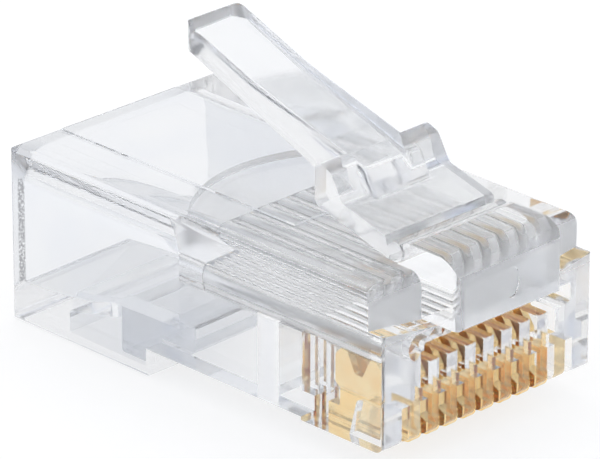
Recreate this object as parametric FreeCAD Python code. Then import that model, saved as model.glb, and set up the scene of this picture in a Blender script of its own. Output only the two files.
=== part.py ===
# Eight-position modular plug for data cable, unterminated, latch side up.
# X across the width, -Y towards the nose, +Z up; the rear body stands on z = 0.
import FreeCAD, Part
import math
import os

os.makedirs("parts", exist_ok=True)

# ---------------------------------------------------------------- body sizes
WIDTH = 11.68                 # over the two long sides
HALF = WIDTH / 2
LENGTH = 22.82                # cable entry to the front of the latch block
REAR = LENGTH / 2             # cable entry face
FRONT = -LENGTH / 2           # foremost face, on the latch block
BODY_TOP = 7.70
NOSE_BOTTOM = 1.30            # the nose is this much shallower than the rear
NOSE_START = 3.25             # where the underside steps up to the nose
PAD_DEPTH = 0.15              # the comb hangs this much below the rest of the nose
COMB_DEPTH = 1.23             # comb front behind the latch block front
COMB_FACE = FRONT + COMB_DEPTH
SHOULDER_DEPTH = 0.83         # body front behind the comb front
SHOULDER_FACE = COMB_FACE + SHOULDER_DEPTH
EAR_DROP = 1.54               # ear ledge below the body top, at the outside
EAR_OUTER = BODY_TOP - EAR_DROP
EAR_FALL = 0.44               # and how much it falls towards the latch block
EAR_INNER = EAR_OUTER - EAR_FALL
EAR_GAP = 2.62                # half distance between the ears at their top
LAND_HALF = 3.20              # raised land along the top
LAND_RISE = 0.08
LAND_END = 0.42               # the land stops this short of the cable entry
PLAN_REAR_R = 0.40            # edge rounding, by place
PLAN_FRONT_R = 0.16
TOP_EDGE_R = 0.42
FOOT_EDGE_R = 0.30
SHOULDER_R = 0.62
COMB_TOP_R = 0.12
COMB_FOOT_R = 0.45
REACH = 1.0                   # how far a cut runs out past an open face
TOLERANCE = 1e-6

# --------------------------------------------------------- contact positions
POSITIONS = 8
PITCH = 1.02
BLADE = 0.38                  # thickness of a contact
BLADE_TOP = 0.28              # thickness of its piercing part
SLOT_PLAY = 0.02              # free width on each side of a contact
SLOT = BLADE + 2 * SLOT_PLAY
BLADE_SETBACK = 0.78          # contact front behind the comb front
BLADE_FRONT = COMB_FACE + BLADE_SETBACK
TOE = 0.42                    # how far the toe reaches forward of that
BLADE_LENGTH = 3.17
BLADE_REAR = BLADE_FRONT + BLADE_LENGTH
BLADE_LOW = 0.80              # contact faces stand proud of the ribs
BLADE_HEIGHT = 3.53
BLADE_HIGH = BLADE_LOW + BLADE_HEIGHT
CRIMP_TRAVEL = 1.00           # how far a contact is pressed in
SLOT_END = 0.13               # clearance in front of and behind a contact
SLOT_HEAD = 0.17              # headroom left above a pressed contact
TOE_HIGH = 0.86               # height of the toe
TINE = 0.87                   # depth of the notch between the tines
TINE_TIP = 0.32               # width of a tine's point
TINE_FLANK = 0.43             # width of the slope down into the notch
NOTCH = 0.42                  # flat bottom of the notch
STAMP_R = 0.10                # corner rounding left by stamping
TOE_R = 0.45                  # the jack's wires slide over this
BASE_HIGH = 1.08              # height of the wide foot of a contact
NECK_HIGH = 0.78              # height of the neck above it
NECK_IN = 0.64                # how far the neck is cut in
LEDGE = 0.16                  # height of the coined slope above the neck
WINDOW_SILL = 2.80            # top of the lower front openings
WINDOW_BAR = 0.56             # bar between the lower and the upper openings
WINDOW_FOOT = WINDOW_SILL + WINDOW_BAR
GROOVE_X = (POSITIONS + 1) / 2 * PITCH    # empty grooves outboard of the slots
GROOVE_DEPTH = 1.90
GROOVE_SLOPE = 0.70

# ------------------------------------------------------------- wire channels
CHANNEL_D = 1.12
CHANNEL_Z = 4.92
RECESS_SINK = 0.01            # floor of the front recess below the channels
CHANNEL_FLOOR = CHANNEL_Z - CHANNEL_D / 2 - RECESS_SINK
MOUTH_HALF = 0.62             # half height of the funnel the wires enter by
MOUTH_R = 0.50
MOUTH_START = 0.70
RECESS_DEPTH = 1.33
RECESS_BACK = COMB_FACE + RECESS_DEPTH
RECESS_ROOF = 5.24
RECESS_LEFT = -3.60
RECESS_RIGHT = 4.66

# -------------------------------------------------------------- cable cavity
WALL = 0.95
CAVITY_HALF = HALF - WALL
ROOF = 1.08                   # plastic above the cavity
CAVITY_ROOF = BODY_TOP - ROOF
CAVITY_FLOOR = 1.60           # at the cable entry
POCKET_STEP = 0.20            # the floor climbs to here at the pocket
RAMP_STEP = 0.40              # and to here before the clamp
RAMP_TOP = 2.42               # where the floor meets the clamp
THROAT_RISE = 0.15            # the last climb, under the curved end wall
FLARE = 0.50                  # lead-in round the cable entry
FLARE_R = 0.30
CAVITY_CORNER = 1.10
BULGE_Y = 3.85                # crown of the curved end wall
BULGE_R = 6.66
THROAT_Y = 0.40

# ----------------------------------------------- strain relief and windows
WINDOW_HALF = 3.90
CLAMP_GAP = 0.10
CLAMP_REAR = 5.70
CLAMP_LENGTH = 4.33
CLAMP_FRONT = CLAMP_REAR - CLAMP_LENGTH
CLAMP_FOOT = 0.10             # clamp underside above the standing face
CLAMP_SINK = 0.06             # clamp top below the cavity floor
CLAMP_R = 0.15
POCKET_LENGTH = 3.00
POCKET_REAR = CLAMP_REAR + POCKET_LENGTH
POCKET_CRUST = 0.84           # plastic between pocket and cavity floor
FIRST_WALL = -2.28            # cross wall between the two windows
CROSS_WALL = 1.35             # its thickness
SECOND_WINDOW = FIRST_WALL - CROSS_WALL
WINDOW_LENGTH = 1.30
COMB_WALL = SECOND_WINDOW - WINDOW_LENGTH
WIRE_OPEN = 0.47              # the windows end this far below the channel centres
WIRE_FLOOR = CHANNEL_Z - WIRE_OPEN
WINDOW_FLARE = 0.30           # the wire window is wider than the clamp's
GUIDE_FOOT = 1.95             # underside of the wire guide wall
GUIDE_UNDER = 0.72            # how much of the wall stops at that height
GUIDE_BACK = COMB_WALL - GUIDE_UNDER
GUIDE_SLOT = 0.26
GUIDE_DEPTH = 0.42

# --------------------------------------------------- latch block and the arm
BLOCK_HALF = 2.93
BLOCK_LIFT = 0.08             # foot of the block above the ears' inner edges
BLOCK_BOTTOM = EAR_INNER + BLOCK_LIFT
BLOCK_RISE = 1.02             # latch block above the body top
BLOCK_TOP = BODY_TOP + BLOCK_RISE
BLOCK_NOSE_R = 1.15
BLOCK_FOOT_R = 0.18
BLOCK_SIDE_R = 0.40
BLOCK_LENGTH = 2.96           # front of the block to its top rear edge
HINGE_BACK = 3.46             # hinge line behind the front of the block
HINGE_Y = FRONT + HINGE_BACK
HINGE_RISE = 0.50             # hinge line above the body top
HINGE_Z = BODY_TOP + HINGE_RISE
HINGE_R = 0.42
HINGE_GAP = 0.04
MARK_TALL = 0.66              # half axes of the ejector mark
MARK_WIDE = 0.42
MARK_DEPTH = 0.07
MARK_RISE = 1.30
MARK_Z = BLOCK_BOTTOM + MARK_RISE

# ------------------------------- latch, as distances back and up from its hinge line
ARM_HALF = 1.65               # narrow finger part
PLATE_HALF = 3.00             # wide part that carries the locking shoulders
PLATE_THICK = 0.865           # measured upright, like every thickness here
ROOT_BACK = 0.30
ROOT_DOWN = 0.40
PLATE_FRONT = 0.50
SHOULDER_BACK = 4.35          # underside of the locking shoulders
SHOULDER_UP = 0.66
SHOULDER_LIP = 0.08           # the locking face stands this far behind that
SHOULDER_FACE_LOW = 0.34      # its lower and upper edges above the underside
SHOULDER_FACE_HIGH = 1.92
WING_START = 2.90             # where the shoulders rise from the plate
WING_BACK = 3.55              # and where they flatten
WING_UP = 2.26
STEP_BACK = 2.50              # where the finger rises from the plate
FOOT_BACK = 3.09              # and where it leans back
FOOT_UP = 2.16
RUN_BACK = 9.45               # where the finger steepens
RUN_UP = 3.93
ARM_REACH = 13.58             # end of the finger
TIP_UP = 4.36
TIP_THICK = 1.15
TIP_R = 0.24
TIP_CORNER_R = 0.90
ARM_BEND_R = 2.00
STEP_R = 0.45
WING_R = 0.30
FINGER_EDGE_R = 0.25
LAND_GAP = 1.00               # the land begins this far behind the shoulders
LAND_START = HINGE_Y + SHOULDER_BACK + LAND_GAP


def block(x0, x1, y0, y1, z0, z1):
    """Box between two corners."""
    return Part.makeBox(x1 - x0, y1 - y0, z1 - z0, FreeCAD.Vector(x0, y0, z0))


def corner(before, here, after, radius):
    """Two tangent points and the middle point of a rounded corner."""
    a = before.sub(here)
    b = after.sub(here)
    a.normalize()
    b.normalize()
    half = a.getAngle(b) / 2
    reach = radius / math.tan(half)
    bisector = a.add(b)
    bisector.normalize()
    centre = here.add(bisector.multiply(radius / math.sin(half)))
    inward = here.sub(centre)
    inward.normalize()
    middle = centre.add(inward.multiply(radius))
    return here.add(a.multiply(reach)), middle, here.add(b.multiply(reach))


def outline(points, place):
    """Closed wire through (a, b, radius) points, with rounded corners."""
    flat = [FreeCAD.Vector(a, b, 0) for a, b, r in points]
    count = len(points)
    edges = []
    last = None
    first = None
    for i in range(count):
        here = flat[i]
        radius = points[i][2]
        if radius > 0:
            start, middle, end = corner(flat[i - 1], here, flat[(i + 1) % count], radius)
        else:
            start = middle = end = here
        if last is not None and last.distanceToPoint(start) > TOLERANCE:
            edges.append(Part.makeLine(place(last), place(start)))
        if radius > 0:
            arc = Part.Arc(place(start), place(middle), place(end))
            edges.append(arc.toShape())
        if first is None:
            first = start
        last = end
    if last.distanceToPoint(first) > TOLERANCE:
        edges.append(Part.makeLine(place(last), place(first)))
    return Part.Wire(edges)


def side_prism(points, x0, x1):
    """Profile in (y, z), drawn from x0 to x1 across the width."""
    wire = outline(points, lambda p: FreeCAD.Vector(x0, p.x, p.y))
    return Part.Face(wire).extrude(FreeCAD.Vector(x1 - x0, 0, 0))


def end_prism(points, y0, y1):
    """Profile in (x, z), drawn from y0 to y1 along the plug."""
    wire = outline(points, lambda p: FreeCAD.Vector(p.x, y0, p.y))
    return Part.Face(wire).extrude(FreeCAD.Vector(0, y1 - y0, 0))


def plan_prism(points, z0, z1):
    """Profile in (x, y), drawn from z0 up to z1."""
    wire = outline(points, lambda p: FreeCAD.Vector(p.x, p.y, z0))
    return Part.Face(wire).extrude(FreeCAD.Vector(0, 0, z1 - z0))


def contact_x(position):
    """Centre of a contact position across the width."""
    return (position - (POSITIONS - 1) / 2) * PITCH


def outer_body():
    """Stepped body with rounded edges, before anything is cored out."""
    side = side_prism([
        (REAR, 0, PLAN_REAR_R),
        (REAR, BODY_TOP, TOP_EDGE_R),
        (SHOULDER_FACE, BODY_TOP, SHOULDER_R),
        (SHOULDER_FACE, EAR_OUTER, 0),
        (COMB_FACE, EAR_OUTER, COMB_TOP_R),
        (COMB_FACE, NOSE_BOTTOM - PAD_DEPTH, COMB_FOOT_R),
        (GUIDE_BACK, NOSE_BOTTOM - PAD_DEPTH, 0),
        (GUIDE_BACK, NOSE_BOTTOM, 0),
        (NOSE_START, NOSE_BOTTOM, 0),
        (NOSE_START, 0, COMB_TOP_R),
    ], -HALF, HALF)
    end = end_prism([
        (-HALF, 0, FOOT_EDGE_R),
        (-HALF, BODY_TOP, TOP_EDGE_R),
        (HALF, BODY_TOP, TOP_EDGE_R),
        (HALF, 0, FOOT_EDGE_R),
    ], FRONT, REAR)
    plan = plan_prism([
        (-HALF, COMB_FACE, PLAN_FRONT_R),
        (-HALF, REAR, PLAN_REAR_R),
        (HALF, REAR, PLAN_REAR_R),
        (HALF, COMB_FACE, PLAN_FRONT_R),
    ], -REACH, BODY_TOP + REACH)
    return side.common(end).common(plan)


def ear_slope(sign):
    """Wedge that makes one ear ledge fall towards the latch block."""
    outside = sign * (HALF + REACH)
    outside_z = EAR_INNER + EAR_FALL * (HALF + REACH - EAR_GAP) / (HALF - EAR_GAP)
    return end_prism([
        (sign * EAR_GAP, EAR_INNER, 0),
        (outside, outside_z, 0),
        (outside, BODY_TOP + REACH, 0),
        (sign * EAR_GAP, BODY_TOP + REACH, 0),
    ], COMB_FACE - REACH, SHOULDER_FACE)


def latch_block():
    """Block at the nose that the latch is moulded on to."""
    back = HINGE_Y - HINGE_GAP
    side = side_prism([
        (FRONT, BLOCK_BOTTOM, BLOCK_FOOT_R),
        (FRONT, BLOCK_TOP, BLOCK_NOSE_R),
        (FRONT + BLOCK_LENGTH, BLOCK_TOP, BLOCK_FOOT_R),
        (back, HINGE_Z + HINGE_GAP, 0),
        (back, BLOCK_BOTTOM, 0),
    ], -BLOCK_HALF, BLOCK_HALF)
    plan = plan_prism([
        (-BLOCK_HALF, FRONT, BLOCK_SIDE_R),
        (-BLOCK_HALF, HINGE_Y + REACH, 0),
        (BLOCK_HALF, HINGE_Y + REACH, 0),
        (BLOCK_HALF, FRONT, BLOCK_SIDE_R),
    ], BLOCK_BOTTOM - REACH, BLOCK_TOP + REACH)
    return side.common(plan)


def hinge_seat():
    """Round hollow in the block that the latch root sits in."""
    return Part.makeCylinder(
        HINGE_R + HINGE_GAP, WIDTH,
        FreeCAD.Vector(-HALF, HINGE_Y, HINGE_Z), FreeCAD.Vector(1, 0, 0))


def ejector_mark():
    """Shallow oval left by the moulding tool on the block front."""
    oval = Part.Ellipse(FreeCAD.Vector(0, 0, 0), MARK_TALL, MARK_WIDE)
    face = Part.Face(Part.Wire([oval.toShape()]))
    face.rotate(FreeCAD.Vector(0, 0, 0), FreeCAD.Vector(0, 0, 1), 90)
    face.rotate(FreeCAD.Vector(0, 0, 0), FreeCAD.Vector(1, 0, 0), 90)
    face.translate(FreeCAD.Vector(0, FRONT + MARK_DEPTH, MARK_Z))
    return face.extrude(FreeCAD.Vector(0, -REACH, 0))


def cable_cavity():
    """Hollow for the cable jacket, open at the rear with a flared mouth."""
    side = side_prism([
        (REAR + REACH, CAVITY_FLOOR, 0),
        (POCKET_REAR, CAVITY_FLOOR + POCKET_STEP, 0),
        ((POCKET_REAR + CLAMP_REAR) / 2, CAVITY_FLOOR + RAMP_STEP, 0),
        (CLAMP_REAR - CLAMP_GAP, RAMP_TOP, 0),
        (THROAT_Y, RAMP_TOP + THROAT_RISE, 0),
        (THROAT_Y, CAVITY_ROOF, 0),
        (REAR + REACH, CAVITY_ROOF, 0),
    ], -CAVITY_HALF, CAVITY_HALF)
    end = end_prism([
        (-CAVITY_HALF, 0, 0),
        (-CAVITY_HALF, CAVITY_ROOF, CAVITY_CORNER),
        (CAVITY_HALF, CAVITY_ROOF, CAVITY_CORNER),
        (CAVITY_HALF, 0, 0),
    ], 0, REAR + REACH)
    bulge = Part.makeCylinder(
        BULGE_R, BODY_TOP, FreeCAD.Vector(0, BULGE_Y - BULGE_R, 0), FreeCAD.Vector(0, 0, 1))
    return side.common(end).cut(bulge)


def entry_flare():
    """Sloping lead-in round the cable entry."""
    sections = []
    for grow in (0, FLARE):
        half = CAVITY_HALF + grow
        y = REAR - FLARE + grow
        sections.append(outline([
            (-half, CAVITY_FLOOR - grow, FLARE_R),
            (-half, CAVITY_ROOF + grow, CAVITY_CORNER),
            (half, CAVITY_ROOF + grow, CAVITY_CORNER),
            (half, CAVITY_FLOOR - grow, FLARE_R),
        ], lambda p, y=y: FreeCAD.Vector(p.x, y, p.y)))
    return Part.makeLoft(sections, True, True)


def wire_channels():
    """Eight side-by-side channels that lead the wires over the contacts."""
    channels = []
    for position in range(POSITIONS):
        start = FreeCAD.Vector(contact_x(position), COMB_FACE + RECESS_DEPTH / 2, CHANNEL_Z)
        channels.append(Part.makeCylinder(
            CHANNEL_D / 2, BULGE_Y + REACH - start.y, start, FreeCAD.Vector(0, 1, 0)))
    return channels[0].multiFuse(channels[1:])


def channel_mouth():
    """Funnel at the curved wall where the wires enter their channels."""
    reach = contact_x(POSITIONS - 1) + MOUTH_HALF
    return end_prism([
        (-reach, CHANNEL_Z - MOUTH_HALF, MOUTH_R),
        (-reach, CHANNEL_Z + MOUTH_HALF, MOUTH_R),
        (reach, CHANNEL_Z + MOUTH_HALF, MOUTH_R),
        (reach, CHANNEL_Z - MOUTH_HALF, MOUTH_R),
    ], MOUTH_START, BULGE_Y + REACH / 2)


def front_recess():
    """Recess under the latch block where the wire channels end."""
    low = end_prism([
        (RECESS_LEFT, CHANNEL_FLOOR, FOOT_EDGE_R / 3),
        (RECESS_LEFT, RECESS_ROOF, FOOT_EDGE_R / 2),
        (RECESS_RIGHT, RECESS_ROOF, FOOT_EDGE_R / 3),
        (RECESS_RIGHT, CHANNEL_FLOOR, FOOT_EDGE_R),
    ], COMB_FACE - REACH, RECESS_BACK)
    high = block(-EAR_GAP, EAR_GAP, COMB_FACE - REACH, SHOULDER_FACE,
                 CHANNEL_Z, BLOCK_BOTTOM)
    return [low, high]


def contact_slot(position):
    """Slot for one contact, open below, with its two front openings."""
    x = contact_x(position)
    x0 = x - SLOT / 2
    x1 = x + SLOT / 2
    back = BLADE_REAR + SLOT_END
    front = BLADE_FRONT - SLOT_END
    head = BLADE_HIGH + CRIMP_TRAVEL + SLOT_HEAD
    shaft = block(x0, x1, front, back, 0, head)
    lower = block(x0, x1, COMB_FACE - REACH, BLADE_FRONT, 0, WINDOW_SILL)
    upper = block(x0, x1, COMB_FACE - REACH, BLADE_FRONT, WINDOW_FOOT, CHANNEL_Z)
    return [shaft, lower, upper]


def outboard_groove(sign):
    """Empty coring groove beside the outermost contact."""
    x = sign * GROOVE_X
    return side_prism([
        (COMB_FACE - REACH, 0, 0),
        (COMB_FACE - REACH, WINDOW_SILL, 0),
        (COMB_FACE + GROOVE_DEPTH, WINDOW_SILL, FOOT_EDGE_R),
        (COMB_FACE + GROOVE_DEPTH + GROOVE_SLOPE, 0, 0),
    ], x - SLOT / 2, x + SLOT / 2)


def underside_windows():
    """Openings through which the crimping tool reaches clamp and wires."""
    clamp = block(-WINDOW_HALF, WINDOW_HALF, FIRST_WALL, CLAMP_REAR + CLAMP_GAP, 0, WIRE_FLOOR)
    pocket = side_prism([
        (CLAMP_REAR, 0, 0),
        (CLAMP_REAR, RAMP_TOP - POCKET_CRUST, 0),
        (POCKET_REAR, CAVITY_FLOOR + POCKET_STEP - POCKET_CRUST, CLAMP_R),
        (POCKET_REAR, 0, 0),
    ], -WINDOW_HALF, WINDOW_HALF)
    wide = WINDOW_HALF + WINDOW_FLARE
    wires = block(-wide, wide, COMB_WALL, SECOND_WINDOW, 0, WIRE_FLOOR)
    return [clamp, pocket, wires]


def guide_wall_cuts():
    """Slots and undercut that turn the wall behind the contacts into a wire guide."""
    wide = WINDOW_HALF + WINDOW_FLARE
    cuts = [block(-wide, wide, COMB_WALL - GUIDE_UNDER, COMB_WALL, 0, GUIDE_FOOT)]
    for position in range(POSITIONS - 1):
        x = contact_x(position) + PITCH / 2
        cuts.append(block(x - GUIDE_SLOT / 2, x + GUIDE_SLOT / 2,
                          COMB_WALL - GUIDE_DEPTH, COMB_WALL, 0, CHANNEL_Z))
    return cuts


def housing():
    """The clear moulding, all but its latch and its clamp."""
    body = outer_body()
    for sign in (-1, 1):
        body = body.cut(ear_slope(sign))
    body = body.fuse(latch_block())
    land = block(-LAND_HALF, LAND_HALF, LAND_START, REAR - LAND_END,
                 CAVITY_ROOF + ROOF / 2, BODY_TOP + LAND_RISE)
    body = body.fuse(land)
    cuts = [cable_cavity(), entry_flare(), wire_channels(), channel_mouth()]
    cuts += front_recess()
    for position in range(POSITIONS):
        cuts += contact_slot(position)
    for sign in (-1, 1):
        cuts.append(outboard_groove(sign))
    cuts += underside_windows()
    cuts += guide_wall_cuts()
    cuts += [hinge_seat(), ejector_mark()]
    for tool in cuts:
        body = body.cut(tool)
    return body.removeSplitter()


def plate_under(back):
    """Height of the plate's underside above the hinge line."""
    slope = (SHOULDER_UP + ROOT_DOWN) / (SHOULDER_BACK - ROOT_BACK)
    return slope * (back - ROOT_BACK) - ROOT_DOWN


def plate_top(back):
    """Height of the plate's top above the hinge line."""
    return plate_under(back) + PLATE_THICK


def from_hinge(corners):
    """Profile corners given from the hinge line, moved to where the line is."""
    return [(HINGE_Y + back, HINGE_Z + up, radius) for back, up, radius in corners]


def latch_finger():
    """Finger from the hinge line to its tip, with rounded long edges."""
    finger = side_prism(from_hinge([
        (ROOT_BACK, -ROOT_DOWN, 0),
        (SHOULDER_BACK, SHOULDER_UP, ARM_BEND_R),
        (ARM_REACH, TIP_UP, TIP_R),
        (ARM_REACH, TIP_UP + TIP_THICK, TIP_R),
        (RUN_BACK, RUN_UP, 4 * ARM_BEND_R),
        (FOOT_BACK, FOOT_UP, STEP_R),
        (STEP_BACK, plate_top(STEP_BACK), STEP_R),
        (PLATE_FRONT, plate_top(PLATE_FRONT), STEP_R / 2),
    ]), -ARM_HALF, ARM_HALF)
    long_edges = []
    for edge in finger.Edges:
        middle = edge.CenterOfMass
        if edge.BoundBox.XLength < TOLERANCE and middle.y > HINGE_Y + SHOULDER_BACK:
            long_edges.append(edge)
    finger = finger.makeFillet(FINGER_EDGE_R, long_edges)
    ends = plan_prism([
        (-ARM_HALF, HINGE_Y, 0),
        (-ARM_HALF, HINGE_Y + ARM_REACH, TIP_CORNER_R),
        (ARM_HALF, HINGE_Y + ARM_REACH, TIP_CORNER_R),
        (ARM_HALF, HINGE_Y, 0),
    ], HINGE_Z - ROOT_DOWN, HINGE_Z + TIP_UP + TIP_THICK)
    return finger.common(ends)


def latch_lever():
    """Latch from its root in the block to the finger tip."""
    face_back = SHOULDER_BACK + SHOULDER_LIP
    plate = side_prism(from_hinge([
        (ROOT_BACK, -ROOT_DOWN, 0),
        (SHOULDER_BACK, SHOULDER_UP, WING_R),
        (face_back, SHOULDER_UP + SHOULDER_FACE_LOW, 0),
        (face_back, SHOULDER_UP + SHOULDER_FACE_HIGH, WING_R),
        (WING_BACK, WING_UP, STEP_R),
        (WING_START, plate_top(WING_START), STEP_R),
        (PLATE_FRONT, plate_top(PLATE_FRONT), STEP_R / 2),
    ]), -PLATE_HALF, PLATE_HALF)
    root = Part.makeCylinder(
        HINGE_R, 2 * PLATE_HALF,
        FreeCAD.Vector(-PLATE_HALF, HINGE_Y, HINGE_Z), FreeCAD.Vector(1, 0, 0))
    return latch_finger().fuse(plate).fuse(root).removeSplitter()


def strain_relief_clamp():
    """Bar that the crimping tool folds up against the cable jacket."""
    low = NOSE_BOTTOM + CLAMP_FOOT
    top = RAMP_TOP - CLAMP_SINK
    step = NOSE_START + CLAMP_SINK
    return side_prism([
        (CLAMP_REAR, CLAMP_FOOT, CLAMP_R),
        (CLAMP_REAR, top, CLAMP_R),
        (CLAMP_FRONT, top + THROAT_RISE, CLAMP_R),
        (CLAMP_FRONT, low, CLAMP_R),
        (step, low, 0),
        (step, CLAMP_FOOT, CLAMP_R),
    ], -WINDOW_HALF + CLAMP_GAP, WINDOW_HALF - CLAMP_GAP)


def contact(position):
    """Gold plated blade with two piercing tines, a neck and a footed base."""
    x = contact_x(position)
    base = BLADE_LOW + BASE_HIGH
    shelf = base + NECK_HIGH
    rear = BLADE_REAR - NECK_IN / 2
    valley = BLADE_HIGH - TINE
    rear_tine = rear - TINE_TIP
    rear_root = rear_tine - TINE_TIP - TINE_FLANK
    front_root = rear_root - NOTCH
    front_tine = front_root - TINE_FLANK
    sharp = STAMP_R / 3
    side = side_prism([
        (BLADE_REAR, BLADE_LOW, 2 * STAMP_R),
        (BLADE_REAR, base, sharp),
        (BLADE_REAR - NECK_IN, base, STAMP_R),
        (BLADE_REAR - NECK_IN, shelf, sharp),
        (rear, shelf + LEDGE, sharp),
        (rear, BLADE_HIGH - TINE_TIP, STAMP_R),
        (rear_tine, BLADE_HIGH, sharp),
        (rear_tine - TINE_TIP, BLADE_HIGH, sharp),
        (rear_root, valley, STAMP_R),
        (front_root, valley, STAMP_R),
        (front_tine, BLADE_HIGH, sharp),
        (front_tine - TINE_TIP, BLADE_HIGH, sharp),
        (BLADE_FRONT, valley, STAMP_R),
        (BLADE_FRONT, BLADE_LOW + TOE_HIGH + TOE / 4, sharp),
        (BLADE_FRONT - TOE, BLADE_LOW + TOE_HIGH - TOE / 4, STAMP_R),
        (BLADE_FRONT - TOE, BLADE_LOW, TOE_R),
    ], x - BLADE / 2, x + BLADE / 2)
    thin = BLADE_TOP / 2
    thick = BLADE / 2
    section = end_prism([
        (x - thick, 0, 0),
        (x - thick, shelf, 0),
        (x - thin, shelf + LEDGE, 0),
        (x - thin, BLADE_HIGH + REACH, 0),
        (x + thin, BLADE_HIGH + REACH, 0),
        (x + thin, shelf + LEDGE, 0),
        (x + thick, shelf, 0),
        (x + thick, 0, 0),
    ], COMB_FACE, BLADE_REAR + REACH)
    return side.common(section)


nodes = {
    "housing": housing(),
    "latch_lever": latch_lever(),
    "strain_relief_clamp": strain_relief_clamp(),
}
for position in range(POSITIONS):
    nodes["contact_%d" % (position + 1)] = contact(position)

for name, shape in nodes.items():
    shape.exportStep("parts/%s.step" % name)
    print(name, shape.ShapeType, len(shape.Solids), shape.isValid(), round(shape.Volume, 2))
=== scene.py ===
import bpy
import bmesh
from math import cos, radians, sin
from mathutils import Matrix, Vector

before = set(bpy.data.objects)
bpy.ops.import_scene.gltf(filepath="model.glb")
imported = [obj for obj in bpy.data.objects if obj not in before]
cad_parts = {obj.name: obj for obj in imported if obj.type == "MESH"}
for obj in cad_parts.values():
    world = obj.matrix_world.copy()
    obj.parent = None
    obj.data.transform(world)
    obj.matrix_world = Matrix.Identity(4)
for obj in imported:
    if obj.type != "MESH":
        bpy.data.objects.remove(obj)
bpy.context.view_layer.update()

# ---------------------------------------------------------------- the housing
# The housing is one clear polycarbonate moulding, injected with long cores that leave
# the wire channels and the rim of the cable mouth duller. Its outside is polished, its
# front faces are satin, and the plastic is faintly blue. Its colour is darkened towards
# the rear as painted shade, and a narrow upright strip at the near side of the cable
# mouth gets mottled painted shade.
MM = 0.001
CLEAR_IOR = 1.585
CLEAR_SHARE = 0.97
FLOW_STRETCH = (900, 70, 900)     # flow lines run along the plug
CLOUD_SCALE = 260.0               # drifts of haze and tint, about 4 mm wide
SHADE_MOTTLE_SCALE = 9000.0              # mottle of the painted shade, about 0.1 mm wide
NOSE_COOL = (0.975, 0.985, 1.0, 1)
NOSE_WARM = (0.998, 1.0, 1.0, 1)
# painted shade: the rear colours are darker than the nose colours and stand in for the shade the
# rear gets; the tint fades between them over NOSE_TO_REAR
REAR_SHADE_COOL = (0.79, 0.815, 0.87, 1)
REAR_SHADE_WARM = (0.945, 0.945, 0.935, 1)
# painted shade: a near-black tone, mottled into a strip at the cable mouth
PAINTED_SHADE_TONE = (0.05, 0.05, 0.06, 1)
NOSE_TO_REAR = (-3.0 * MM, 3.0 * MM)
SATIN_HEIGHT = (5.2 * MM, 5.8 * MM)
SATIN_FACING = (0.6, 0.9)         # how squarely a face looks ahead
SHADE_MOTTLE_RANGE = (0.3, 0.55)
FLOW_DEPTH = 0.02 * MM
FLOW_STRENGTH = 0.15
WELD_GAP = 0.002 * MM
CORNER_ANGLE = radians(30)        # sharper bends stay crisp


def new_node(tree, kind, **values):
    """Adds a node, with its inputs and settings by name."""
    node = tree.nodes.new(kind)
    for name, value in values.items():
        if name in node.inputs:
            node.inputs[name].default_value = value
        else:
            setattr(node, name, value)
    return node


def shader_group(name, inputs, outputs):
    """Starts a shader node group with named sockets; returns it with its two ends."""
    tree = bpy.data.node_groups.new(name, "ShaderNodeTree")
    for socket_name, kind, value in inputs:
        socket = tree.interface.new_socket(socket_name, in_out="INPUT", socket_type=kind)
        if value is not None:
            socket.default_value = value
    for socket_name, kind in outputs:
        tree.interface.new_socket(socket_name, in_out="OUTPUT", socket_type=kind)
    return tree, tree.nodes.new("NodeGroupInput"), tree.nodes.new("NodeGroupOutput")


def colour_mix(tree, factor, first, second):
    """Mixes two colours, each given as a colour or as a node's output."""
    mix = new_node(tree, "ShaderNodeMix", data_type="RGBA")
    tree.links.new(factor, mix.inputs["Factor"])
    for end, colour in (("A", first), ("B", second)):
        if isinstance(colour, tuple):
            mix.inputs[end].default_value = colour
        else:
            tree.links.new(colour, mix.inputs[end])
    return mix.outputs["Result"]


def add(tree, first, second):
    """Sum of two outputs."""
    total = new_node(tree, "ShaderNodeMath", operation="ADD")
    tree.links.new(first, total.inputs[0])
    tree.links.new(second, total.inputs[1])
    return total.outputs[0]


def ramp(tree, value, low, high):
    """Maps a value that runs from low to high on to 0 to 1."""
    node = new_node(tree, "ShaderNodeMapRange", **{"From Min": low, "From Max": high})
    tree.links.new(value, node.inputs["Value"])
    return node


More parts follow.
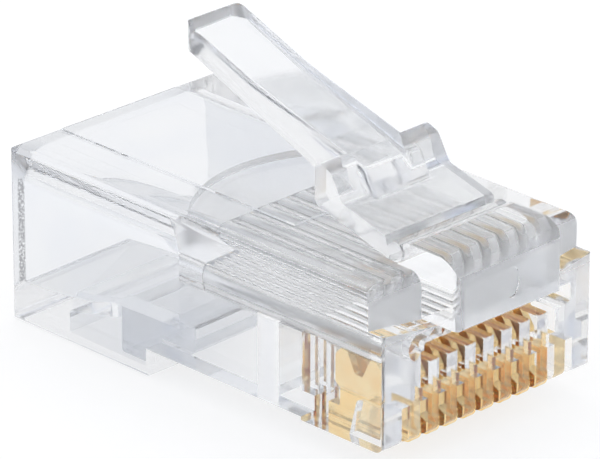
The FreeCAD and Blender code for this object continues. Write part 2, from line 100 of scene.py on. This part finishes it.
def moulded_surface():
    """Shader group: flow lines, haze, handling marks and tint of a clear moulding, with painted
    shade darkening the tint towards the rear.
    """
    number = "NodeSocketFloat"
    tree, inlet, outlet = shader_group(
        "moulded_surface",
        [("Flow", number, 0.25), ("Haze", number, 0.03), ("Marks", number, 0.04),
         ("Rear shade", number, 1.0)],
        [("Height", number), ("Roughness", number), ("Tint", "NodeSocketColor")])
    place = tree.nodes.new("ShaderNodeTexCoord")
    along = new_node(tree, "ShaderNodeMapping", Scale=FLOW_STRETCH)
    flow = new_node(tree, "ShaderNodeTexNoise", Scale=1.0, Detail=3.0)
    cloud = new_node(tree, "ShaderNodeTexNoise", Scale=CLOUD_SCALE, Detail=4.0)
    height = new_node(tree, "ShaderNodeMath", operation="MULTIPLY")
    rough = new_node(tree, "ShaderNodeMath", operation="MULTIPLY_ADD")
    spread = tree.nodes.new("ShaderNodeSeparateXYZ")
    tree.links.new(place.outputs["Object"], along.inputs["Vector"])
    tree.links.new(along.outputs[0], flow.inputs["Vector"])
    tree.links.new(place.outputs["Object"], cloud.inputs["Vector"])
    tree.links.new(place.outputs["Object"], spread.inputs[0])
    tree.links.new(flow.outputs["Fac"], height.inputs[0])
    tree.links.new(inlet.outputs["Flow"], height.inputs[1])
    tree.links.new(height.outputs[0], outlet.inputs["Height"])
    tree.links.new(cloud.outputs["Fac"], rough.inputs[0])
    tree.links.new(inlet.outputs["Marks"], rough.inputs[1])
    tree.links.new(inlet.outputs["Haze"], rough.inputs[2])
    tree.links.new(rough.outputs[0], outlet.inputs["Roughness"])
    # painted shade: the tint darkens from the nose colours to the rear colours along Y, scaled by
    # the rear input
    rear_shade_share = ramp(tree, spread.outputs["Y"], *NOSE_TO_REAR)
    tree.links.new(inlet.outputs["Rear shade"], rear_shade_share.inputs["To Max"])
    cool = colour_mix(tree, rear_shade_share.outputs["Result"], NOSE_COOL, REAR_SHADE_COOL)
    warm = colour_mix(tree, rear_shade_share.outputs["Result"], NOSE_WARM, REAR_SHADE_WARM)
    tint_and_shade = colour_mix(tree, cloud.outputs["Fac"], cool, warm)
    tree.links.new(tint_and_shade, outlet.inputs["Tint"])
    return tree


def cored_patch():
    """Shader group: an amount inside a box, fading out over an edge inside its sides."""
    number = "NodeSocketFloat"
    vector = "NodeSocketVector"
    tree, inlet, outlet = shader_group(
        "cored_patch",
        [("Centre", vector, None), ("Half size", vector, None),
         ("Edge", number, None), ("Amount", number, None)],
        [("Added", number)])
    place = tree.nodes.new("ShaderNodeTexCoord")
    away = new_node(tree, "ShaderNodeVectorMath", operation="SUBTRACT")
    size = new_node(tree, "ShaderNodeVectorMath", operation="ABSOLUTE")
    over = new_node(tree, "ShaderNodeVectorMath", operation="SUBTRACT")
    parts = tree.nodes.new("ShaderNodeSeparateXYZ")
    wide = new_node(tree, "ShaderNodeMath", operation="MAXIMUM")
    most = new_node(tree, "ShaderNodeMath", operation="MAXIMUM")
    share = new_node(tree, "ShaderNodeMath", operation="DIVIDE")
    gain = new_node(tree, "ShaderNodeMath", operation="MULTIPLY")
    tree.links.new(place.outputs["Object"], away.inputs[0])
    tree.links.new(inlet.outputs["Centre"], away.inputs[1])
    tree.links.new(away.outputs[0], size.inputs[0])
    tree.links.new(size.outputs[0], over.inputs[0])
    tree.links.new(inlet.outputs["Half size"], over.inputs[1])
    tree.links.new(over.outputs[0], parts.inputs[0])
    tree.links.new(parts.outputs["X"], wide.inputs[0])
    tree.links.new(parts.outputs["Y"], wide.inputs[1])
    tree.links.new(wide.outputs[0], most.inputs[0])
    tree.links.new(parts.outputs["Z"], most.inputs[1])
    tree.links.new(most.outputs[0], share.inputs[0])
    tree.links.new(inlet.outputs["Edge"], share.inputs[1])
    fade = ramp(tree, share.outputs[0], -1.0, 0.0)
    fade.inputs["To Min"].default_value = 1.0
    fade.inputs["To Max"].default_value = 0.0
    tree.links.new(fade.outputs["Result"], gain.inputs[0])
    tree.links.new(inlet.outputs["Amount"], gain.inputs[1])
    tree.links.new(gain.outputs[0], outlet.inputs["Added"])
    return tree


surface_group = moulded_surface()
patch_group = cored_patch()


def patch_amount(tree, centre, half, edge, amount):
    """Places a patch, with its sizes in millimetres; returns its amount."""
    patch = new_node(tree, "ShaderNodeGroup", node_tree=patch_group)
    patch.inputs["Centre"].default_value = [MM * size for size in centre]
    patch.inputs["Half size"].default_value = [MM * size for size in half]
    patch.inputs["Edge"].default_value = MM * edge
    patch.inputs["Amount"].default_value = amount
    return patch.outputs["Added"]


def satin_front(tree, amount):
    """Extra roughness of the front faces above the comb."""
    facing = tree.nodes.new("ShaderNodeTexCoord")
    ahead = new_node(tree, "ShaderNodeVectorMath", operation="DOT_PRODUCT")
    ahead.inputs[1].default_value = (0, -1, 0)
    place = tree.nodes.new("ShaderNodeSeparateXYZ")
    weigh = new_node(tree, "ShaderNodeMath", operation="MULTIPLY")
    weigh.inputs[1].default_value = amount
    tree.links.new(facing.outputs["Normal"], ahead.inputs[0])
    tree.links.new(facing.outputs["Object"], place.inputs[0])
    upper = ramp(tree, place.outputs["Z"], *SATIN_HEIGHT)
    satin = ramp(tree, ahead.outputs["Value"], *SATIN_FACING)
    tree.links.new(upper.outputs["Result"], satin.inputs["To Max"])
    tree.links.new(satin.outputs["Result"], weigh.inputs[0])
    return weigh.outputs[0]


def painted_mottled_shade(tree, tint_and_shade, patch):
    """Darkens the colour with mottled painted shade inside a patch."""
    place = tree.nodes.new("ShaderNodeTexCoord")
    mottle = new_node(tree, "ShaderNodeTexNoise", Scale=SHADE_MOTTLE_SCALE, Detail=2.0)
    share = new_node(tree, "ShaderNodeMath", operation="MULTIPLY")
    tree.links.new(place.outputs["Object"], mottle.inputs["Vector"])
    coarse = ramp(tree, mottle.outputs["Fac"], *SHADE_MOTTLE_RANGE)
    tree.links.new(coarse.outputs["Result"], share.inputs[0])
    tree.links.new(patch_amount(tree, *patch), share.inputs[1])
    return colour_mix(tree, share.outputs[0], tint_and_shade, PAINTED_SHADE_TONE)


def clear_plastic(name, flow, haze, marks, clear=CLEAR_SHARE, rear_shade=1.0,
                  front=0.0, dull_patches=(), painted_shade_patches=()):
    """Clear polycarbonate with its own flow, haze and marks, duller places, painted shade towards
    the rear and mottled painted shade in patches.
    """
    material = bpy.data.materials.new(name)
    material.use_nodes = True
    tree = material.node_tree
    shader = tree.nodes["Principled BSDF"]
    shader.inputs["Transmission Weight"].default_value = clear
    shader.inputs["Metallic"].default_value = 0.0
    shader.inputs["IOR"].default_value = CLEAR_IOR
    surface = new_node(tree, "ShaderNodeGroup", node_tree=surface_group)
    surface.inputs["Flow"].default_value = flow
    surface.inputs["Haze"].default_value = haze
    surface.inputs["Marks"].default_value = marks
    surface.inputs["Rear shade"].default_value = rear_shade
    rough = surface.outputs["Roughness"]
    tint_and_shade = surface.outputs["Tint"]
    for patch in dull_patches:
        rough = add(tree, rough, patch_amount(tree, *patch))
    if front:
        rough = add(tree, satin_front(tree, front), rough)
    # painted shade: mottled dark patches
    for patch in painted_shade_patches:
        tint_and_shade = painted_mottled_shade(tree, tint_and_shade, patch)
    bump = new_node(tree, "ShaderNodeBump", Strength=FLOW_STRENGTH, Distance=FLOW_DEPTH)
    tree.links.new(surface.outputs["Height"], bump.inputs["Height"])
    tree.links.new(bump.outputs["Normal"], shader.inputs["Normal"])
    tree.links.new(rough, shader.inputs["Roughness"])
    tree.links.new(tint_and_shade, shader.inputs["Base Color"])
    return material


def geometry_modifier(node, name):
    """Adds an empty geometry modifier to a node; returns its tree and its two ends."""
    tree = bpy.data.node_groups.new(name, "GeometryNodeTree")
    for way in ("INPUT", "OUTPUT"):
        tree.interface.new_socket("Geometry", in_out=way, socket_type="NodeSocketGeometry")
    node.modifiers.new(name, "NODES").node_group = tree
    return tree, tree.nodes.new("NodeGroupInput"), tree.nodes.new("NodeGroupOutput")


def round_over(node):
    """Shades a node's fillets round and keeps its corners crisp."""
    tree, inlet, outlet = geometry_modifier(node, "round_over")
    weld = new_node(tree, "GeometryNodeMergeByDistance", Distance=WELD_GAP)
    faces = tree.nodes.new("GeometryNodeSetShadeSmooth")
    edges = new_node(tree, "GeometryNodeSetShadeSmooth", domain="EDGE")
    bend = tree.nodes.new("GeometryNodeInputMeshEdgeAngle")
    sharp = new_node(tree, "FunctionNodeCompare", operation="GREATER_THAN")
    sharp.inputs[1].default_value = CORNER_ANGLE
    tree.links.new(inlet.outputs[0], weld.inputs["Geometry"])
    tree.links.new(weld.outputs[0], faces.inputs["Geometry"])
    tree.links.new(faces.outputs[0], edges.inputs["Geometry"])
    tree.links.new(bend.outputs["Unsigned Angle"], sharp.inputs[0])
    tree.links.new(sharp.outputs[0], edges.inputs["Selection"])
    edges.inputs["Shade Smooth"].default_value = False
    tree.links.new(edges.outputs[0], outlet.inputs[0])


def dress(name, material):
    """Gives a node its finish."""
    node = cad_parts[name]
    node.data.materials.clear()
    node.data.materials.append(material)
    round_over(node)


WIRE_CHANNELS = ((0, -2.6, 4.9), (4.3, 6.2, 0.72), 0.3, 0.42)
MOUTH_RIM = ((0, 11.4, 4.3), (5.6, 0.55, 4.2), 0.2, 0.12)
# painted shade: a narrow dark mottled strip at the near side of the cable mouth
MOUTH_SHADE_STRIP = ((-5.0, 11.0, 3.9), (0.20, 0.17, 2.3), 0.05, 0.85)
dress("housing", clear_plastic(
    "clear_housing", flow=0.12, haze=0.02, marks=0.04, front=0.24,
    dull_patches=[WIRE_CHANNELS, MOUTH_RIM], painted_shade_patches=[MOUTH_SHADE_STRIP]))

# ------------------------------------------------------------- latch and clamp
# Latch and strain relief clamp are run in the same shot of plastic as the housing and
# hang on it by thin webs. The finger is hazy from handling, the clamp has a duller
# tool finish.
# the latch gets a quarter of the painted rear shade
dress("latch_lever", clear_plastic(
    "clear_latch", flow=0.3, haze=0.05, marks=0.12, clear=0.93, rear_shade=0.25))
dress("strain_relief_clamp", clear_plastic(
    "clear_clamp", flow=0.8, haze=0.05, marks=0.06))

# ---------------------------------------------------------------- the contacts
# Eight blades are stamped from bronze, coined, and plated with nickel and then gold.
# They are pressed into slots that grip them. A crease and a ledge run along each side.
BLADE_FOOT = 0.80 * MM
BLADE_TOP = 4.33 * MM
DEEP_GOLD = (0.92, 0.55, 0.18, 1)
PALE_GOLD = (1.0, 0.90, 0.56, 1)
GOLD_CLOUD_SCALE = 900.0
GOLD_ROUGHNESS = (0.10, 0.26)
COIN_DEPTH = 0.06 * MM
COIN_STRENGTH = 0.5
FLAT_SIDE = (0.5, 0.5, 0.5, 1)
COINED = (   # share of the blade's height, and level of its side there
    (0.12, 0.9), (0.16, 0.0), (0.20, 0.9), (0.30, 0.6), (0.50, 0.5), (0.53, 1.0), (0.58, 0.5))
GRIP = 1.13       # the slot's walls press on a blade this much thicker


def gold_plate():
    """Slightly uneven gold over coined steps."""
    material = bpy.data.materials.new("gold_plate")
    material.use_nodes = True
    tree = material.node_tree
    shader = tree.nodes["Principled BSDF"]
    shader.inputs["Metallic"].default_value = 1.0
    place = tree.nodes.new("ShaderNodeTexCoord")
    cloud = new_node(tree, "ShaderNodeTexNoise", Scale=GOLD_CLOUD_SCALE, Detail=5.0)
    tree.links.new(place.outputs["Object"], cloud.inputs["Vector"])
    tone = colour_mix(tree, cloud.outputs["Fac"], DEEP_GOLD, PALE_GOLD)
    tree.links.new(tone, shader.inputs["Base Color"])
    rough = tree.nodes.new("ShaderNodeMapRange")
    rough.inputs["To Min"].default_value, rough.inputs["To Max"].default_value = GOLD_ROUGHNESS
    tree.links.new(cloud.outputs["Fac"], rough.inputs["Value"])
    tree.links.new(rough.outputs["Result"], shader.inputs["Roughness"])
    high = tree.nodes.new("ShaderNodeSeparateXYZ")
    tree.links.new(place.outputs["Object"], high.inputs[0])
    along = ramp(tree, high.outputs["Z"], BLADE_FOOT, BLADE_TOP)
    coined = tree.nodes.new("ShaderNodeValToRGB")
    steps = coined.color_ramp.elements
    for end in (0, 1):
        steps[end].color = FLAT_SIDE
    for share, level in COINED:
        steps.new(share).color = (level, level, level, 1)
    tree.links.new(along.outputs["Result"], coined.inputs["Fac"])
    bump = new_node(tree, "ShaderNodeBump", Strength=COIN_STRENGTH, Distance=COIN_DEPTH)
    tree.links.new(coined.outputs["Color"], bump.inputs["Height"])
    tree.links.new(bump.outputs["Normal"], shader.inputs["Normal"])
    return material


def grip(node):
    """Widens a contact about its middle plane, into its slot's walls."""
    tree, inlet, outlet = geometry_modifier(node, "grip")
    here = tree.nodes.new("GeometryNodeInputPosition")
    parts = tree.nodes.new("ShaderNodeSeparateXYZ")
    extent = tree.nodes.new("GeometryNodeAttributeStatistic")
    middle = new_node(tree, "ShaderNodeMath", operation="MULTIPLY")
    middle.inputs[1].default_value = 0.5
    away = new_node(tree, "ShaderNodeMath", operation="SUBTRACT")
    widen = new_node(tree, "ShaderNodeMath", operation="MULTIPLY")
    widen.inputs[1].default_value = GRIP - 1
    shift = tree.nodes.new("ShaderNodeCombineXYZ")
    moved = tree.nodes.new("GeometryNodeSetPosition")
    tree.links.new(here.outputs[0], parts.inputs[0])
    tree.links.new(inlet.outputs[0], extent.inputs["Geometry"])
    tree.links.new(parts.outputs["X"], extent.inputs["Attribute"])
    tree.links.new(add(tree, extent.outputs["Min"], extent.outputs["Max"]), middle.inputs[0])
    tree.links.new(parts.outputs["X"], away.inputs[0])
    tree.links.new(middle.outputs[0], away.inputs[1])
    tree.links.new(away.outputs[0], widen.inputs[0])
    tree.links.new(widen.outputs[0], shift.inputs["X"])
    tree.links.new(inlet.outputs[0], moved.inputs["Geometry"])
    tree.links.new(shift.outputs[0], moved.inputs["Offset"])
    tree.links.new(moved.outputs[0], outlet.inputs[0])


gold = gold_plate()
for name in sorted(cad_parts):
    if name.startswith("contact_"):
        dress(name, gold)
        grip(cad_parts[name])

# -------------------------------------------------------------------- the floor
# The plug stands on a plain pale sheet that glows a little, like paper on a light
# table. Seen directly, in gold or through the plastic, it is near white with a faint
# shadow.
FLOOR_HALF = 1.5
PAPER = (0.8, 0.8, 0.8, 1)
PAPER_SEEN = (0.30, 0.30, 0.30, 1)
PAPER_GLOW = 0.76

floor_mesh = bmesh.new()
bmesh.ops.create_grid(floor_mesh, x_segments=1, y_segments=1, size=FLOOR_HALF)
floor_data = bpy.data.meshes.new("floor")
floor_mesh.to_mesh(floor_data)
floor = bpy.data.objects.new("floor", floor_data)
bpy.context.scene.collection.objects.link(floor)

paper = bpy.data.materials.new("paper_floor")
paper.use_nodes = True
paper_tree = paper.node_tree
paper_tree.nodes.clear()
paper_out = paper_tree.nodes.new("ShaderNodeOutputMaterial")
paper_shade = paper_tree.nodes.new("ShaderNodeBsdfDiffuse")
paper_white = new_node(paper_tree, "ShaderNodeEmission", Color=(1, 1, 1, 1))
paper_sum = paper_tree.nodes.new("ShaderNodeAddShader")
paper_path = paper_tree.nodes.new("ShaderNodeLightPath")
paper_direct = new_node(paper_tree, "ShaderNodeMath", operation="MAXIMUM")
paper_seen = new_node(paper_tree, "ShaderNodeMath", operation="MAXIMUM")
paper_glow = new_node(paper_tree, "ShaderNodeMath", operation="MULTIPLY")
paper_glow.inputs[1].default_value = PAPER_GLOW
paper_tree.links.new(paper_path.outputs["Is Camera Ray"], paper_direct.inputs[0])
paper_tree.links.new(paper_path.outputs["Is Glossy Ray"], paper_direct.inputs[1])
paper_tree.links.new(paper_direct.outputs[0], paper_seen.inputs[0])
paper_tree.links.new(paper_path.outputs["Is Transmission Ray"], paper_seen.inputs[1])
paper_tree.links.new(paper_seen.outputs[0], paper_glow.inputs[0])
paper_tree.links.new(paper_glow.outputs[0], paper_white.inputs["Strength"])
paper_tree.links.new(
    colour_mix(paper_tree, paper_seen.outputs[0], PAPER, PAPER_SEEN), paper_shade.inputs["Color"])
paper_tree.links.new(paper_shade.outputs[0], paper_sum.inputs[0])
paper_tree.links.new(paper_white.outputs[0], paper_sum.inputs[1])
paper_tree.links.new(paper_sum.outputs[0], paper_out.inputs["Surface"])
floor_data.materials.append(paper)

# --------------------------------------------------------------------- the light
# A soft white room lights the plug from above and behind. It is a blue grey on the
# camera's side, which the front faces pick up. There are no lamps.
ROOM_AXIS = (0.70, 0.71, 0.25)
ROOM_DIM = (0.70, 0.77, 0.93, 1)
ROOM_BRIGHT = (1, 1, 1, 1)
ROOM_FADE = (-0.6, 0.2)

room = bpy.data.worlds.new("room")
bpy.context.scene.world = room
room.use_nodes = True
room_tree = room.node_tree
room_back = room_tree.nodes["Background"]
room_back.inputs["Strength"].default_value = 1.0
room_place = room_tree.nodes.new("ShaderNodeTexCoord")
room_turn = new_node(room_tree, "ShaderNodeVectorMath", operation="DOT_PRODUCT")
room_turn.inputs[1].default_value = ROOM_AXIS
room_ramp = room_tree.nodes.new("ShaderNodeValToRGB")
room_ramp.color_ramp.elements[0].color = ROOM_DIM
room_ramp.color_ramp.elements[1].color = ROOM_BRIGHT
room_tree.links.new(room_place.outputs["Generated"], room_turn.inputs[0])
room_share = ramp(room_tree, room_turn.outputs["Value"], *ROOM_FADE)
room_tree.links.new(room_share.outputs["Result"], room_ramp.inputs["Fac"])
room_tree.links.new(room_ramp.outputs["Color"], room_back.inputs["Color"])

# -------------------------------------------------------------------- the camera
# A long lens a quarter of a metre away looks down on the nose and the near side.
# Light may bounce many times, because the clear walls reflect it inside themselves.
CAMERA_AZIMUTH = radians(-44.38)
CAMERA_ELEVATION = radians(23.69)
CAMERA_DISTANCE = 0.2501
CAMERA_LENS = 377.2
LOOK_AT = Vector((-0.00149, -0.00115, 0.00656))
BOUNCES = 32
back = Vector((
    sin(CAMERA_AZIMUTH) * cos(CAMERA_ELEVATION),
    -cos(CAMERA_AZIMUTH) * cos(CAMERA_ELEVATION),
    sin(CAMERA_ELEVATION)))
camera_data = bpy.data.cameras.new("camera")
camera_data.lens = CAMERA_LENS
camera_data.sensor_width = 36
camera_data.clip_start = 0.01
camera_data.clip_end = 10
camera = bpy.data.objects.new("camera", camera_data)
camera.location = LOOK_AT + back * CAMERA_DISTANCE
camera.rotation_mode = "QUATERNION"
camera.rotation_quaternion = (-back).to_track_quat("-Z", "Y")
scene = bpy.context.scene
scene.collection.objects.link(camera)
scene.camera = camera
scene.view_settings.view_transform = "Standard"
scene.cycles.max_bounces = BOUNCES
scene.cycles.transmission_bounces = BOUNCES
scene.cycles.glossy_bounces = BOUNCES
scene.cycles.diffuse_bounces = 8
